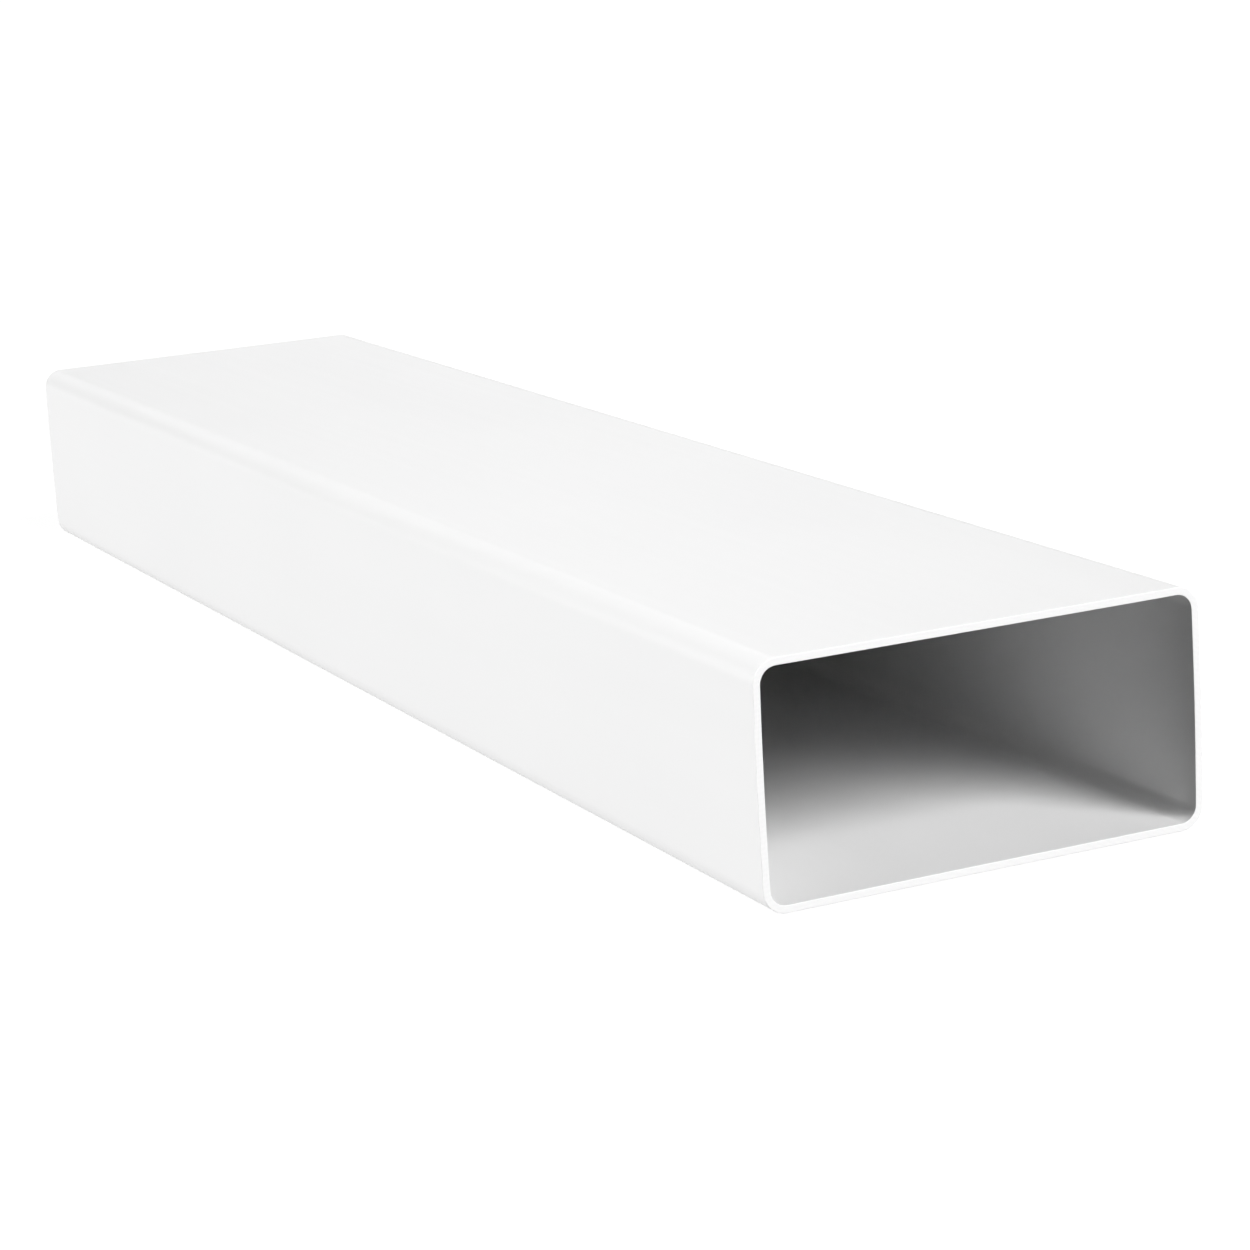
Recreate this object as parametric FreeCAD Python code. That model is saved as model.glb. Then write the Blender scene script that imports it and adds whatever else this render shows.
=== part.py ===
"""Flat channel duct: one straight length of extruded rigid PVC ventilation channel.

A thin-walled rectangular tube with rounded corners, open and sawn square at both ends.
The two wide walls are flat.  The two narrow walls carry the slight outward crown that an
extruded channel takes as it cools, so the section is widest at mid height.

Frame, in millimetres: +X runs along the length, +Y across the width, +Z up.
The origin is on the floor, at the middle of the underside.
"""

import FreeCAD
import Part

import math
import os

# ---- driving dimensions (mm) -------------------------------------------------------------
LENGTH = 500.0          # sawn length, one stock half metre
WIDTH = 110.0           # outside width, measured over the crowned narrow walls at mid height
HEIGHT = 55.0           # outside height, over the two flat wide walls
WALL = 1.7              # wall thickness, the same all round
CORNER_R = 5.5          # outside corner radius; the inside radius is CORNER_R - WALL
SIDE_CROWN = 0.3        # outward rise of each narrow wall at mid height, over its straight height
EDGE_BREAK = 0.1        # deburring chamfer left on the sawn ends, outside and inside

NODE = "flat_channel_duct"


def crown_radius():
    """Radius of the large arc that forms a narrow wall, from its chord and its rise."""
    chord = HEIGHT - 2.0 * CORNER_R
    return chord * chord / (8.0 * SIDE_CROWN) + SIDE_CROWN / 2.0


def section_wire(inset, x):
    """Closed outline of the section at station x, moved inwards by inset.

    Two flat runs, two crowned sides and four corner arcs, all tangent to each other.
    Moving every arc inwards about its own centre keeps the wall the same thickness all round.
    """
    big = crown_radius()
    side_y = WIDTH / 2.0 - big                       # centre of the +Y side's large arc
    mid_z = HEIGHT / 2.0
    corner_z = HEIGHT / 2.0 - CORNER_R               # corner centre above and below mid height
    corner_y = side_y + math.sqrt((big - CORNER_R) ** 2 - corner_z ** 2)
    lean = math.atan2(corner_z, corner_y - side_y)   # where the corner arc meets the large arc
    r_side, r_corner = big - inset, CORNER_R - inset

    def at(y, z):
        return FreeCAD.Vector(x, y, z)

    def on_corner(sy, sz, angle):
        """Point on the corner arc in quadrant (sy, sz), angle measured from the Y axis."""
        return at(sy * (corner_y + r_corner * math.cos(angle)),
                  mid_z + sz * (corner_z + r_corner * math.sin(angle)))

    half_turn = math.pi / 2.0
    middle = (lean + half_turn) / 2.0

    def corner(sy, sz, from_side):
        a, b = (lean, half_turn) if from_side else (half_turn, lean)
        return Part.Arc(on_corner(sy, sz, a), on_corner(sy, sz, middle), on_corner(sy, sz, b))

    def side(sy, sz):
        return Part.Arc(on_corner(sy, -sz, lean), at(sy * (side_y + r_side), mid_z), on_corner(sy, sz, lean))

    edges = [
        Part.LineSegment(on_corner(-1, -1, half_turn), on_corner(1, -1, half_turn)),   # underside
        corner(1, -1, False),
        side(1, 1),
        corner(1, 1, True),
        Part.LineSegment(on_corner(1, 1, half_turn), on_corner(-1, 1, half_turn)),     # top
        corner(-1, 1, False),
        side(-1, -1),
        corner(-1, -1, True),
    ]
    return Part.Wire([e.toShape() for e in edges])


def build():
    start = -LENGTH / 2.0
    along = FreeCAD.Vector(LENGTH, 0, 0)
    outer = Part.Face(section_wire(0.0, start)).extrude(along)
    passage = Part.Face(section_wire(WALL, start)).extrude(along)
    tube = outer.cut(passage)

    # the sawn rims: every edge that lies in an end plane gets the same small break
    rims = [e for e in tube.Edges
            if all(abs(abs(v.Point.x) - LENGTH / 2.0) < 1e-6 for v in e.Vertexes)]
    tube = tube.makeChamfer(EDGE_BREAK, rims)
    solids = tube.Solids
    if len(solids) != 1 or not solids[0].isValid() or not solids[0].isClosed():
        raise RuntimeError("the duct is not one valid closed solid")
    return solids[0]


def main():
    os.makedirs("parts", exist_ok=True)
    duct = build()
    box = duct.BoundBox
    section = Part.Face(section_wire(0.0, 0.0)).Area - Part.Face(section_wire(WALL, 0.0)).Area
    print("box x %.3f..%.3f y %.3f..%.3f z %.3f..%.3f" % (box.XMin, box.XMax, box.YMin, box.YMax, box.ZMin, box.ZMax))
    print("section area %.2f mm2, volume %.1f mm3, section x length %.1f mm3" % (section, duct.Volume, section * LENGTH))
    print("faces", len(duct.Faces), "crown radius %.1f" % crown_radius())
    duct.exportStep(os.path.join("parts", NODE + ".step"))


main()
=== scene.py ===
"""A length of flat channel duct: white rigid PVC, extruded as one rectangular tube and sawn square at both ends.
It lies on its wide lower face, with +X along its length, and stands for the CAD solid at the same size and place."""

import math

import bpy
import numpy as np
from mathutils import Matrix, Vector


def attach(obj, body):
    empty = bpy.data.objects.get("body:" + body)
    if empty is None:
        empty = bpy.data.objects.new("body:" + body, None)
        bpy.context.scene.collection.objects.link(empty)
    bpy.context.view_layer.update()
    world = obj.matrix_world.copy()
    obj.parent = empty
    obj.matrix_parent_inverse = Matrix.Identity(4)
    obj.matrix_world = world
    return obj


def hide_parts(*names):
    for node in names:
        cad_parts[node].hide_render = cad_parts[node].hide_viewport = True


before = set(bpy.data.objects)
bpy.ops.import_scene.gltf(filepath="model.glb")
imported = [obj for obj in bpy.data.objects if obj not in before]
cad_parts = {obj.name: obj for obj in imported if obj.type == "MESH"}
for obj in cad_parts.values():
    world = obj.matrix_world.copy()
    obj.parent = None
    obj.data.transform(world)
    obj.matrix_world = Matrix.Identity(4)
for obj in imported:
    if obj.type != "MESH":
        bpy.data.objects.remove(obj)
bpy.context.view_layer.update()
scene = bpy.context.scene
MM = 0.001

# ---------------------------------------------------------------- the tube's sizes, in millimetres, as in the CAD
LENGTH = 500.0
WIDTH = 110.0
HEIGHT = 55.0
WALL = 1.7
CORNER_R = 5.5  # outside corners of the section
SIDE_CROWN = 0.3  # the narrow walls bow out by this much
EDGE_BREAK = 0.1  # sawn edges, dressed round


# ---------------------------------------------------------------- camera: the photograph's viewpoint
def make_camera():
    azimuth, elevation, roll = (math.radians(a) for a in (65.0666, 13.1695, -3.4050))
    back = Vector(
        (
            math.sin(azimuth) * math.cos(elevation),
            -math.cos(azimuth) * math.cos(elevation),
            math.sin(elevation),
        )
    )
    right0 = Vector((math.cos(azimuth), math.sin(azimuth), 0.0))
    up0 = back.cross(right0)
    c, s = math.cos(roll), math.sin(roll)
    right, up = c * right0 + s * up0, c * up0 - s * right0
    data = bpy.data.cameras.new("camera")
    data.sensor_width = 36.0
    data.lens = 3566.985 / 1250.0 * 36.0
    data.clip_start, data.clip_end = 0.01, 100.0
    data.dof.use_dof = False
    cam = bpy.data.objects.new("camera", data)
    scene.collection.objects.link(cam)
    turn = Matrix((right, up, back)).transposed().to_4x4()
    cam.matrix_world = Matrix.Translation((0.881327, -0.376178, 0.229884)) @ turn
    scene.camera = cam
    return cam


# ---------------------------------------------------------------- the tube as one closed mesh
def section():
    """Points round the outside of the section from the middle of the underside, anticlockwise seen from the +X end,
    with their outward normals, the run along the outline, how slack the wall is there (0 at a corner, 1 mid-face), and
    the same for the narrow walls alone."""
    half_w, half_h = WIDTH / 2, HEIGHT / 2
    corner_z = half_h - CORNER_R
    big = (2 * corner_z) ** 2 / (8 * SIDE_CROWN) + SIDE_CROWN / 2
    side_y = half_w - big  # centre of the right-hand wall's bow
    corner_y = side_y + math.sqrt((big - CORNER_R) ** 2 - corner_z**2)
    lean = math.atan2(corner_z, corner_y - side_y)

    pts, nrm, slack, ease = [], [], [], []

    def flat(y0, y1, z, n, steps):
        for t in np.linspace(0, 1, steps, endpoint=False):
            y = y0 + (y1 - y0) * t
            pts.append((y, z))
            nrm.append(n)
            slack.append(max(0.0, 1 - (y / corner_y) ** 2))
            ease.append(0.0)

    def arc(cy, cz, r, a0, a1, steps, loose=False):
        for a in np.linspace(a0, a1, steps, endpoint=False):
            pts.append((cy + r * math.cos(a), cz + r * math.sin(a)))
            nrm.append((math.cos(a), math.sin(a)))
            slack.append(max(0.0, 1 - ((pts[-1][1] - half_h) / corner_z) ** 2) if loose else 0.0)
            ease.append(slack[-1])

    q, lo, hi = math.pi / 2, half_h - corner_z, half_h + corner_z
    down, upward = (0.0, -1.0), (0.0, 1.0)
    near = corner_y - 0.4  # a close support row beside each corner
    flat(0.0, near, 0.0, down, 15)
    flat(near, corner_y, 0.0, down, 1)
    arc(corner_y, lo, CORNER_R, -q, -lean, 14)
    arc(side_y, half_h, big, -lean, lean, 16, loose=True)
    arc(corner_y, hi, CORNER_R, lean, q, 14)
    flat(corner_y, near, HEIGHT, upward, 1)
    flat(near, -near, HEIGHT, upward, 30)
    flat(-near, -corner_y, HEIGHT, upward, 1)
    arc(-corner_y, hi, CORNER_R, q, 2 * q - lean, 14)
    arc(-side_y, half_h, big, 2 * q - lean, 2 * q + lean, 16, loose=True)
    arc(-corner_y, lo, CORNER_R, 2 * q + lean, 3 * q, 14)
    flat(-corner_y, -near, 0.0, down, 1)
    flat(-near, 0.0, 0.0, down, 15)
    pts, nrm, slack, ease = np.array(pts), np.array(nrm), np.array(slack), np.array(ease)
    step = np.linalg.norm(np.roll(pts, -1, 0) - pts, axis=1)
    run = np.concatenate([[0.0], np.cumsum(step)])
    return pts, nrm, run, slack, ease


def profile():
    """The loop that each point of the section sweeps: along the outside, round the front rim, back along the inside
    and round the rear rim. Rows are x, depth below the outer face, and the normal's shares along x and outwards."""
    end, e, t = LENGTH / 2, EDGE_BREAK, WALL
    rows, part = [], []

    def put(x, inset, nx, nr, where):
        rows.append((x, inset, nx, nr))
        part.append(where)

    long_steps = 150
    rounds = [math.radians(a) for a in (22.5, 45.0, 67.5)]
    lands = [0.0, 0.25, 0.5, 0.75, 1.0]
    for x in np.linspace(-(end - e), end - e, long_steps + 1):
        put(x, 0.0, 0.0, 1.0, "outside")
    part[-1] = "front"
    for a in rounds:
        put(end - e + e * math.sin(a), e - e * math.cos(a), math.sin(a), math.cos(a), "front")
    for k in lands:
        put(end, e + (t - 2 * e) * k, 1.0, 0.0, "front")
    for a in reversed(rounds):
        put(end - e + e * math.sin(a), t - e + e * math.cos(a), math.sin(a), -math.cos(a), "front")
    for x in np.linspace(end - e, -(end - e), long_steps + 1):
        put(x, t, 0.0, -1.0, "inside")
    part[-1] = "rear"
    for a in rounds:
        put(-(end - e + e * math.sin(a)), t - e + e * math.cos(a), -math.sin(a), -math.cos(a), "rear")
    for k in reversed(lands):
        put(-end, e + (t - 2 * e) * k, -1.0, 0.0, "rear")
    for a in reversed(rounds):
        put(-(end - e + e * math.sin(a)), e - e * math.cos(a), -math.sin(a), math.cos(a), "rear")
    return np.array(rows), part


def make_tube():
    pts, nrm, run, slack, ease = section()
    rows, part = profile()
    n_s, n_p = len(pts), len(rows)
    around = run[:-1]
    perimeter = run[-1]

    # The walls of a haul-off extrusion are not dead flat: they sink by a few hundredths of a millimetre in long, shallow
    # waves, most in the middle of a face and not at all at the stiff corners. Everything sinks inwards, so the tube's
    # outer size stays as it is.
    x = rows[:, 0][:, None]
    s = around[None, :] / perimeter * 2 * math.pi
    wave = (
        0.42 * np.sin(2 * math.pi * x / 187.0 + 2.0 * s + 0.6)
        + 0.33 * np.sin(2 * math.pi * x / 121.0 - 3.0 * s + 1.9)
        + 0.25 * np.sin(2 * math.pi * x / 313.0 + 5.0 * s + 4.1)
    )
    sink = 0.07 * slack[None, :] * (0.5 + 0.5 * wave)
    # die lines: each runs the whole length, a few thousandths of a millimetre deep
    rng = np.random.default_rng(54110)
    sink = sink + 0.006 * rng.random(n_s)[None, :] * (0.25 + 0.75 * slack[None, :])
    # the bowed narrow walls give way a little more, which keeps them within the CAD's own faceted bow
    sink = sink + 0.04 * ease[None, :]
    wave_x = (
        0.42 * np.cos(2 * math.pi * x / 187.0 + 2.0 * s + 0.6) / 187.0
        + 0.33 * np.cos(2 * math.pi * x / 121.0 - 3.0 * s + 1.9) / 121.0
        + 0.25 * np.cos(2 * math.pi * x / 313.0 + 5.0 * s + 4.1) / 313.0
    ) * 2 * math.pi
    tilt_x = 0.07 * slack[None, :] * 0.5 * wave_x
    gap = np.roll(around, -1) - np.roll(around, 1)
    gap = np.where(gap <= 0, gap + perimeter, gap)
    tilt_s = (np.roll(sink, -1, axis=1) - np.roll(sink, 1, axis=1)) / gap[None, :]

    depth = rows[:, 1][:, None] + sink
    co = np.empty((n_p, n_s, 3))
    co[..., 0] = rows[:, 0][:, None]
    co[..., 1] = pts[:, 0][None, :] - depth * nrm[:, 0][None, :]
    co[..., 2] = pts[:, 1][None, :] - depth * nrm[:, 1][None, :]
    share_x, share_r = rows[:, 2][:, None], rows[:, 3][:, None]
    along = np.stack([-nrm[:, 1], nrm[:, 0]], axis=1)  # along the outline
    nor = np.empty_like(co)
    nor[..., 0] = share_x + share_r * tilt_x
    nor[..., 1] = share_r * (nrm[:, 0][None, :] + tilt_s * along[:, 0][None, :])
    nor[..., 2] = share_r * (nrm[:, 1][None, :] + tilt_s * along[:, 1][None, :])
    nor /= np.linalg.norm(nor, axis=2, keepdims=True)

    i, j = np.meshgrid(np.arange(n_p), np.arange(n_s), indexing="ij")
    i1, j1 = (i + 1) % n_p, (j + 1) % n_s
    faces = np.stack([i * n_s + j, i * n_s + j1, i1 * n_s + j1, i1 * n_s + j], axis=-1).reshape(-1, 4)
    mesh = bpy.data.meshes.new("duct_tube")
    mesh.from_pydata((co.reshape(-1, 3) * MM).tolist(), [], faces.tolist())

    # one unrolled map: outside and inside side by side, the two rims as strips above them
    step = np.linalg.norm(np.roll(co, -1, 0) - co, axis=2).mean(1)
    size, edge = perimeter * 2 + 18.0, 6.0
    at = {"outside": (edge, edge, 1.0), "inside": (perimeter + 2 * edge, edge, 1.0)}
    at["front"] = (edge, LENGTH + 2 * edge, 5.0)
    at["rear"] = (perimeter + 2 * edge, LENGTH + 2 * edge, 5.0)
    v0, v1, u0 = np.empty(n_p), np.empty(n_p), np.empty(n_p)
    reach, last = 0.0, None
    for k in range(n_p):
        left, low, stretch = at[part[k]]
        reach = 0.0 if part[k] != last else reach
        last = part[k]
        u0[k], v0[k] = left, low + reach * stretch
        reach += step[k]
        v1[k] = low + reach * stretch
    ua, ub = run[:-1][None, :], run[1:][None, :]
    uv = np.empty((n_p, n_s, 4, 2))
    uv[..., 0, 0] = uv[..., 3, 0] = u0[:, None] + ua
    uv[..., 1, 0] = uv[..., 2, 0] = u0[:, None] + ub
    uv[..., 0, 1] = uv[..., 1, 1] = v0[:, None]
    uv[..., 2, 1] = uv[..., 3, 1] = v1[:, None]
    layer = mesh.uv_layers.new(name="OFBake")
    layer.uv.foreach_set("vector", (uv / size).astype(np.float32).ravel())

    rim = np.repeat([p in ("front", "rear") for p in part], n_s)
    mesh.polygons.foreach_set("material_index", rim.astype(np.int32))
    mesh.polygons.foreach_set("use_smooth", np.ones(len(faces), bool))
    mesh.update()
    mesh.normals_split_custom_set_from_vertices(nor.reshape(-1, 3).tolist())
    tube = bpy.data.objects.new("duct_tube", mesh)
    scene.collection.objects.link(tube)
    return tube


# ---------------------------------------------------------------- materials
class Nodes:
    """A material's node tree, with short ways to add and join nodes."""

    def __init__(self, name):
        self.material = bpy.data.materials.new(name)
        self.material.use_nodes = True
        self.tree = self.material.node_tree
        self.tree.nodes.clear()

    def add(self, kind, inputs=None, **settings):
        node = self.tree.nodes.new(kind)
        for key, value in settings.items():
            setattr(node, key, value)
        for key, value in (inputs or {}).items():
            socket = node.inputs[key]
            if isinstance(value, bpy.types.NodeSocket):
                self.tree.links.new(value, socket)
            else:
                socket.default_value = value
        return node

    def place(self, scale):
        coords = self.add("ShaderNodeTexCoord")
        return self.add("ShaderNodeMapping", {"Vector": coords.outputs["Object"], "Scale": scale}).outputs[0]

    def noise(self, scale, detail=2.0, rough=0.5):
        return self.add(
            "ShaderNodeTexNoise", {"Vector": self.place(scale), "Scale": 1.0, "Detail": detail, "Roughness": rough}
        ).outputs["Fac"]

    def between(self, value, low, high, from_low=0.0, from_high=1.0):
        return self.add(
            "ShaderNodeMapRange",
            {"Value": value, "From Min": from_low, "From Max": from_high, "To Min": low, "To Max": high},
        ).outputs[0]

    def shade(self, value, dark, light, low=0.3, high=0.7):
        ramp = self.add("ShaderNodeValToRGB", {"Fac": value})
        ramp.color_ramp.elements[0].position, ramp.color_ramp.elements[0].color = low, (*dark, 1)
        ramp.color_ramp.elements[1].position, ramp.color_ramp.elements[1].color = high, (*light, 1)
        return ramp.outputs[0]

    def multiply(self, a, b):
        node = self.add("ShaderNodeMix", data_type="RGBA", blend_type="MULTIPLY")
        node.inputs[0].default_value = 1.0
        self.tree.links.new(a, node.inputs[6])
        self.tree.links.new(b, node.inputs[7])
        return node.outputs[2]

    def bump(self, height, distance, strength=1.0, normal=None):
        inputs = {"Height": height, "Distance": distance, "Strength": strength}
        if normal is not None:
            inputs["Normal"] = normal
        return self.add("ShaderNodeBump", inputs).outputs[0]

    def surface(self, **sockets):
        names = {k.replace("_", " "): v for k, v in sockets.items()}
        shader = self.add("ShaderNodeBsdfPrincipled", names)
        self.add("ShaderNodeOutputMaterial", {"Surface": shader.outputs[0]})
        return self.material


def wall_plastic():
    """White rigid PVC as it leaves the die: satin, with faint streaks along the length and an even, fine skin."""
    n = Nodes("white_upvc_wall")
    streak = n.noise((5.0, 250.0, 250.0), 3.0, 0.55)
    hair = n.noise((9.0, 900.0, 900.0), 2.0, 0.5)
    cloud = n.noise((11.0, 16.0, 16.0), 2.0)
    skin = n.noise((2400.0, 2400.0, 2400.0), 2.0)
    tone = n.shade(cloud, (0.737, 0.737, 0.738), (0.748, 0.748, 0.748))
    tint = n.shade(streak, (0.994, 0.994, 0.994), (1.0, 1.0, 1.0), 0.25, 0.75)
    normal = n.bump(streak, 0.000008, 0.5)
    normal = n.bump(hair, 0.000003, 0.5, normal)
    normal = n.bump(skin, 0.000003, 0.5, normal)
    return n.surface(
        Base_Color=n.multiply(tone, tint),
        Roughness=n.between(streak, 0.32, 0.42, 0.25, 0.75),
        IOR=1.53,
        Normal=normal,
    )


def sawn_plastic_painted_light():
    """The same plastic where the saw went through it: duller, with the blade's shallow arcs across the wall. Its base
    colour is paler than the walls' as painted light, standing in for the light that falls on the sawn ends from the
    front.
    """
    n = Nodes("white_upvc_sawn_painted_light")
    coords = n.add("ShaderNodeTexCoord")
    from_blade = n.add(
        "ShaderNodeMapping", {"Vector": coords.outputs["Object"], "Location": (0.0, 0.031, 0.118)}
    ).outputs[0]
    arcs = n.add(
        "ShaderNodeTexWave",
        {"Vector": from_blade, "Scale": 270.0, "Distortion": 1.6, "Detail": 2.0, "Detail Scale": 2.0},
        wave_type="RINGS",
        rings_direction="X",
    ).outputs["Fac"]
    fuzz = n.noise((1500.0, 1500.0, 1500.0), 3.0)
    # painted light: the ends' base colour is set well above the walls' so that they read brighter, as if lit from the
    # front; the small step across the saw arcs is the cut's own texture
    tone = n.shade(arcs, (0.838, 0.838, 0.838), (0.85, 0.85, 0.85), 0.2, 0.8)
    tint = n.shade(fuzz, (0.99, 0.99, 0.99), (1.0, 1.0, 1.0))
    normal = n.bump(arcs, 0.000010, 0.5)
    normal = n.bump(fuzz, 0.000006, 0.5, normal)
    return n.surface(
        Base_Color=n.multiply(tone, tint),
        Roughness=n.between(fuzz, 0.48, 0.62, 0.3, 0.7),
        IOR=1.53,
        Normal=normal,
    )


# ---------------------------------------------------------------- stage: a plain white lit table and soft light
def make_table():
    reach, steps = 12.0, 96
    ring = [(reach * math.cos(a), reach * math.sin(a), -0.0003) for a in np.linspace(0, 2 * math.pi, steps, False)]
    mesh = bpy.data.meshes.new("table")
    mesh.from_pydata(ring, [], [list(range(steps))])
    table = bpy.data.objects.new("table", mesh)
    scene.collection.objects.link(table)
    n = Nodes("table_white")
    n.surface(
        Base_Color=(0.1, 0.1, 0.1, 1),
        Roughness=1.0,
        Specular_IOR_Level=0.0,
        Emission_Color=(1, 1, 1, 1),
        Emission_Strength=0.95,
    )
    mesh.materials.append(n.material)
    table.visible_diffuse = False  # the light that the table sends up is part of the surroundings below
    table.visible_shadow = False
    return table


def make_backdrop():
    """A plain white dome over the table, seen by the camera alone, so that a low view has no horizon."""
    reach, rings, steps = 11.9, 16, 96
    turns = np.linspace(0, 2 * math.pi, steps, endpoint=False)
    heights = np.linspace(0, math.pi / 2 * 0.98, rings)
    points = [
        (reach * math.cos(h) * math.cos(a), reach * math.cos(h) * math.sin(a), reach * math.sin(h) - 0.001)
        for h in heights
        for a in turns
    ]
    faces = [
        (r * steps + k, (r + 1) * steps + k, (r + 1) * steps + (k + 1) % steps, r * steps + (k + 1) % steps)
        for r in range(rings - 1)
        for k in range(steps)
    ]
    faces.append(tuple((rings - 1) * steps + k for k in reversed(range(steps))))
    mesh = bpy.data.meshes.new("backdrop")
    mesh.from_pydata(points, [], faces)
    backdrop = bpy.data.objects.new("backdrop", mesh)
    scene.collection.objects.link(backdrop)
    n = Nodes("backdrop_white")
    glow = n.add("ShaderNodeEmission", {"Color": (1, 1, 1, 1), "Strength": 1.0})
    n.add("ShaderNodeOutputMaterial", {"Surface": glow.outputs[0]})
    mesh.materials.append(n.material)
    backdrop.visible_diffuse = backdrop.visible_glossy = backdrop.visible_transmission = False
    backdrop.visible_shadow = backdrop.visible_volume_scatter = False
    return backdrop


def from_side(bearing_deg, height_deg):
    """A direction by its bearing, from +X towards +Y, and its height above the table."""
    b, h = math.radians(bearing_deg), math.radians(height_deg)
    return Vector((math.cos(b) * math.cos(h), math.sin(b) * math.cos(h), math.sin(h)))


def make_sun(name, towards, strength, spread_deg):
    data = bpy.data.lights.new(name, "SUN")
    data.energy, data.angle = strength, math.radians(spread_deg)
    lamp = bpy.data.objects.new(name, data)
    lamp.rotation_mode = "QUATERNION"
    lamp.rotation_quaternion = towards.to_track_quat("Z", "Y")
    lamp.location = towards * 3.0
    scene.collection.objects.link(lamp)
    return lamp


def make_surroundings(above, below):
    """Soft light from behind the tube: white walls above the table's level and the table's own glow below it. The
    side that the front opening faces is left dark, so the inside falls off into shade."""
    world = bpy.data.worlds.new("studio")
    world.use_nodes = True
    tree = world.node_tree
    back = tree.nodes["Background"]
    coords = tree.nodes.new("ShaderNodeTexCoord")
    axes = tree.nodes.new("ShaderNodeSeparateXYZ")
    tree.links.new(coords.outputs["Generated"], axes.inputs[0])

    def ramp(axis, start, stop, first, last):
        node = tree.nodes.new("ShaderNodeMapRange")
        node.interpolation_type = "SMOOTHSTEP"
        for key, value in zip(("From Min", "From Max", "To Min", "To Max"), (start, stop, first, last)):
            node.inputs[key].default_value = value
        tree.links.new(axes.outputs[axis], node.inputs["Value"])
        return node.outputs[0]

    product = tree.nodes.new("ShaderNodeMath")
    product.operation = "MULTIPLY"
    tree.links.new(ramp("X", -0.12, 0.12, 1.0, 0.0), product.inputs[0])
    tree.links.new(ramp("Z", -0.08, 0.08, below, above), product.inputs[1])
    tree.links.new(product.outputs[0], back.inputs["Strength"])
    back.inputs["Color"].default_value = (1, 1, 1, 1)
    scene.world = world
    return world


camera = make_camera()
tube = make_tube()
tube.data.materials.append(wall_plastic())
tube.data.materials.append(sawn_plastic_painted_light())
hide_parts("flat_channel_duct")
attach(tube, "root")

table = make_table()
backdrop = make_backdrop()
key = make_sun("key", from_side(20, 37), 4.67, 32)
fill = make_sun("fill", from_side(-120, 12), 2.95, 50)
edge = make_sun("edge", from_side(156, 24), 0.06, 16)
world = make_surroundings(0.417, 0.937)
scene.view_settings.view_transform = "Standard"
scene.view_settings.look = "None"
